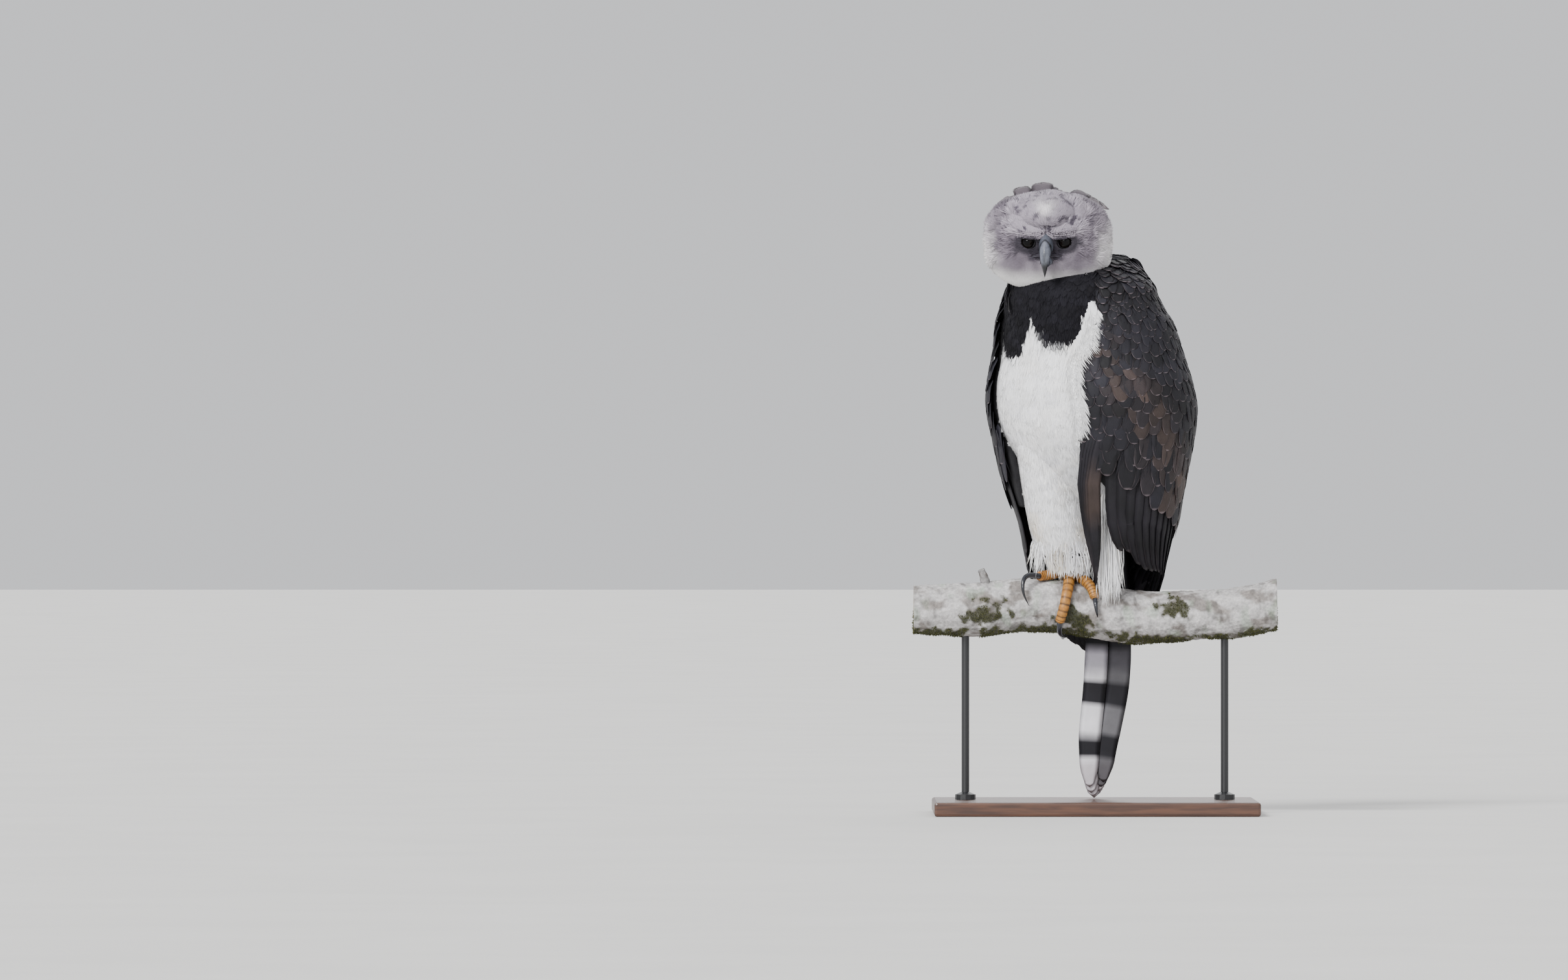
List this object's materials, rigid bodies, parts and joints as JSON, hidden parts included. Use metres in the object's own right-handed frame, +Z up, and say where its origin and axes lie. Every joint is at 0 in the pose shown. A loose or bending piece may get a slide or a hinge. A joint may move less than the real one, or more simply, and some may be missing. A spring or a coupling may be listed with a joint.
{
  "type": "harpy eagle figure",
  "caption": "Life-size harpy eagle at rest on a cut length of branch, held up by a flat-based display stand, head turned to face the viewer.",
  "frame": {"origin": "middle of the underside of the stand base", "axes": "+Z up, X along the branch and the long side of the base, -Y the way the head faces"},
  "size_m": [0.56, 0.36, 0.9741],
  "materials": {
    "white_feather": "soft, matte white contour feathers",
    "dark_feather": "slate-black feathers with a faint silky sheen",
    "grey_feather": "soft, matte mauve-grey feathers",
    "foot_scales": "golden, scaly, slightly waxy skin",
    "claw": "smooth black horn",
    "horn": "smooth blue-grey horn, black at the tip",
    "eye": "wet, near-black brown eye",
    "bark": "pale, lichen-covered rough bark",
    "stand_wood": "dark stained wood, satin",
    "stand_metal": "matte black paint on steel rod"
  },
  "bodies": {
    "root": {"bill_lower": "horn", "bill_upper": "horn", "claw_left_1": "claw", "claw_left_2": "claw", "claw_left_3": "claw", "claw_left_4": "claw", "claw_right_1": "claw", "claw_right_2": "claw", "claw_right_3": "claw", "claw_right_4": "claw", "crest": "grey_feather", "eye_left": "eye", "eye_right": "eye", "foot_left": "foot_scales", "foot_right": "foot_scales", "head": "grey_feather", "leg_left": "white_feather", "leg_right": "white_feather", "neck": "dark_feather", "perch": "bark", "stand_base": "stand_wood", "stand_rod_left": "stand_metal", "stand_rod_right": "stand_metal", "tail": "dark_feather", "torso": "white_feather", "wing_left": "dark_feather", "wing_right": "dark_feather"}
  },
  "joints": []
}
